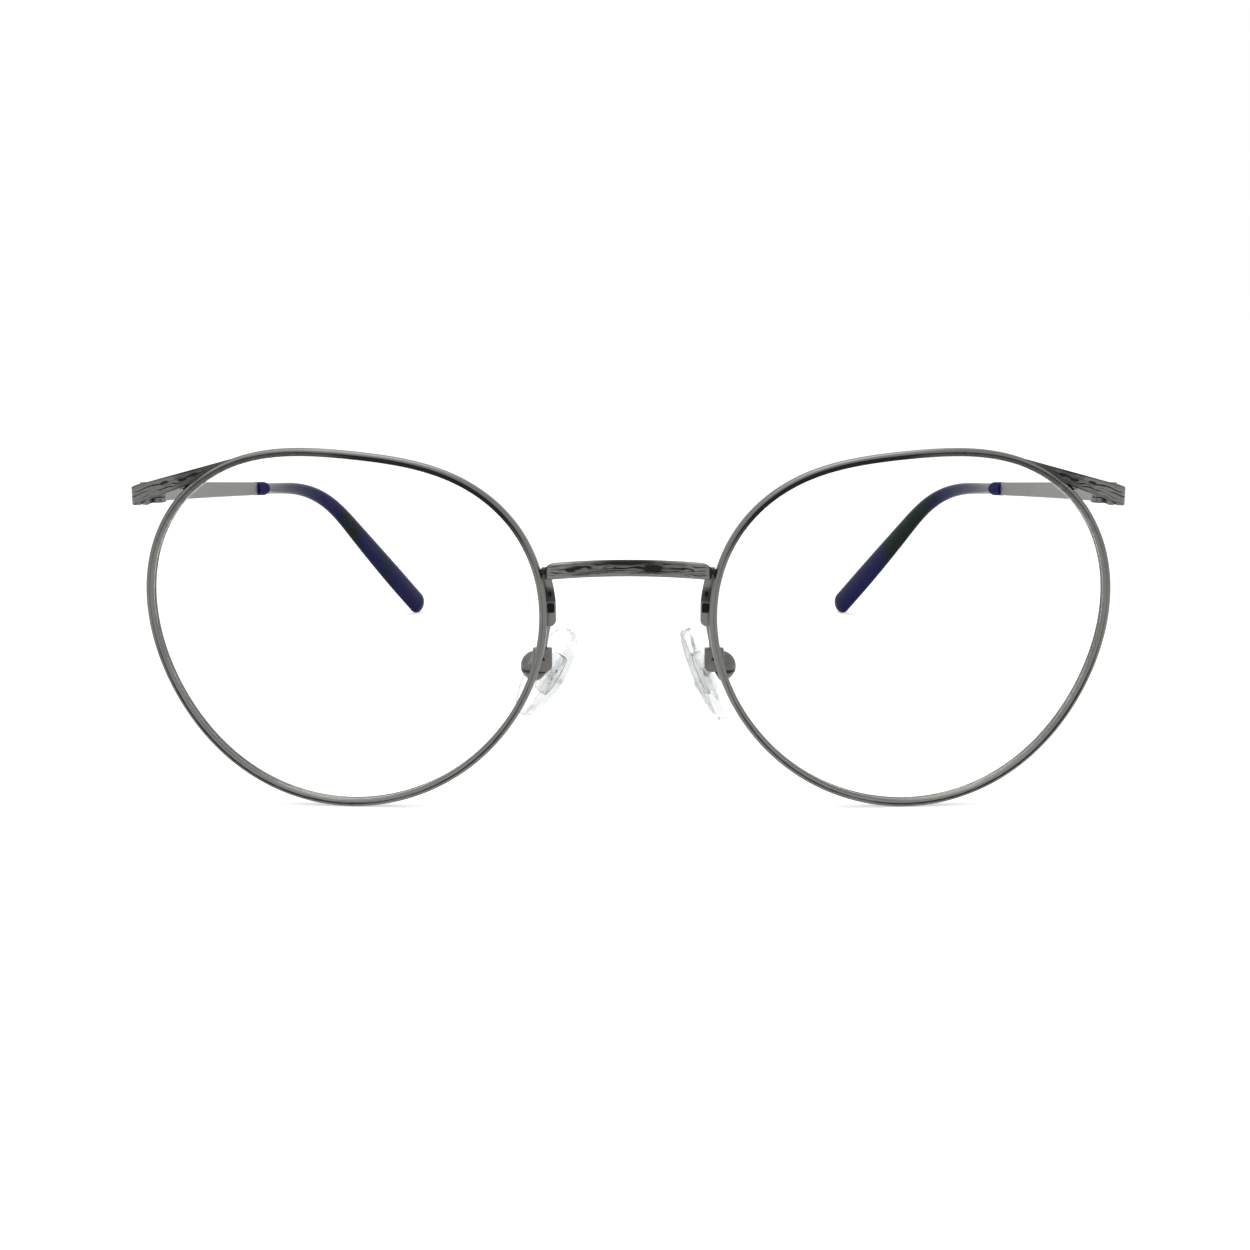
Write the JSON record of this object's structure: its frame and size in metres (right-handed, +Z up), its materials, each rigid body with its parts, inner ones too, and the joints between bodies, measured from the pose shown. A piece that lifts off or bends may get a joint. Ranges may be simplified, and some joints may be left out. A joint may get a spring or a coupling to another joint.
{
  "type": "round wire eyeglasses",
  "caption": "Round wire-rim eyeglasses with clear lenses, a flat metal bridge, soft nose pads on wire arms and folding temples with curved acetate tips.",
  "frame": {"origin": "middle of the footprint of the open glasses, on the table that the rims and the temple tips stand on", "axes": "+X to the wearer's left, +Y back along the open temples, +Z up"},
  "size_m": [0.1298, 0.1341, 0.0464],
  "materials": {
    "frame_metal": "gunmetal grey plating, polished, engraved on the bridge and end pieces",
    "satin_metal": "plain satin grey",
    "screw_steel": "small slotted screws",
    "navy_acetate": "glossy dark navy, clouded with bottle green",
    "silicone": "clear soft silicone",
    "insert_plastic": "hard clear core plate and stem",
    "lens": "clear, polished, anti-reflective"
  },
  "bodies": {
    "front": {"bridge": "frame_metal", "left_rim": "frame_metal", "right_rim": "frame_metal", "left_lens": "lens", "right_lens": "lens", "left_upper_closing_block": "frame_metal", "right_upper_closing_block": "frame_metal", "left_lower_closing_block": "frame_metal", "right_lower_closing_block": "frame_metal", "left_rim_screw": "screw_steel", "right_rim_screw": "screw_steel", "left_end_piece": "frame_metal", "right_end_piece": "frame_metal", "left_front_hinge_leaf": "satin_metal", "right_front_hinge_leaf": "satin_metal", "left_hinge_screw": "screw_steel", "right_hinge_screw": "screw_steel", "left_pad_arm": "frame_metal", "right_pad_arm": "frame_metal", "left_pad_cup": "frame_metal", "right_pad_cup": "frame_metal"},
    "left_temple": {"left_temple_arm": "satin_metal", "left_temple_tip": "navy_acetate", "left_temple_hinge_leaf": "satin_metal"},
    "right_temple": {"right_temple_arm": "satin_metal", "right_temple_tip": "navy_acetate", "right_temple_hinge_leaf": "satin_metal"},
    "left_pad": {"left_nose_pad": "silicone", "left_pad_insert": "insert_plastic"},
    "right_pad": {"right_nose_pad": "silicone", "right_pad_insert": "insert_plastic"}
  },
  "joints": [
    {"name": "left_temple_fold", "type": "hinge", "parent": "front", "child": "left_temple", "pos_m": [0.06055, -0.05785, 0.03995], "axis": [0, 0, 1], "range_deg": [0, 84]},
    {"name": "right_temple_fold", "type": "hinge", "parent": "front", "child": "right_temple", "pos_m": [-0.06055, -0.05785, 0.03995], "axis": [0, 0, -1], "range_deg": [0, 77]},
    {"name": "left_pad_rock", "type": "hinge", "parent": "front", "child": "left_pad", "pos_m": [0.01215, -0.0576, 0.0172], "axis": [-0.2077, -0.9773, 0.0405], "range_deg": [-10, 10]},
    {"name": "right_pad_rock", "type": "hinge", "parent": "front", "child": "right_pad", "pos_m": [-0.01215, -0.0576, 0.0172], "axis": [-0.4924, 0.8529, 0.1737], "range_deg": [-10, 10]}
  ]
}
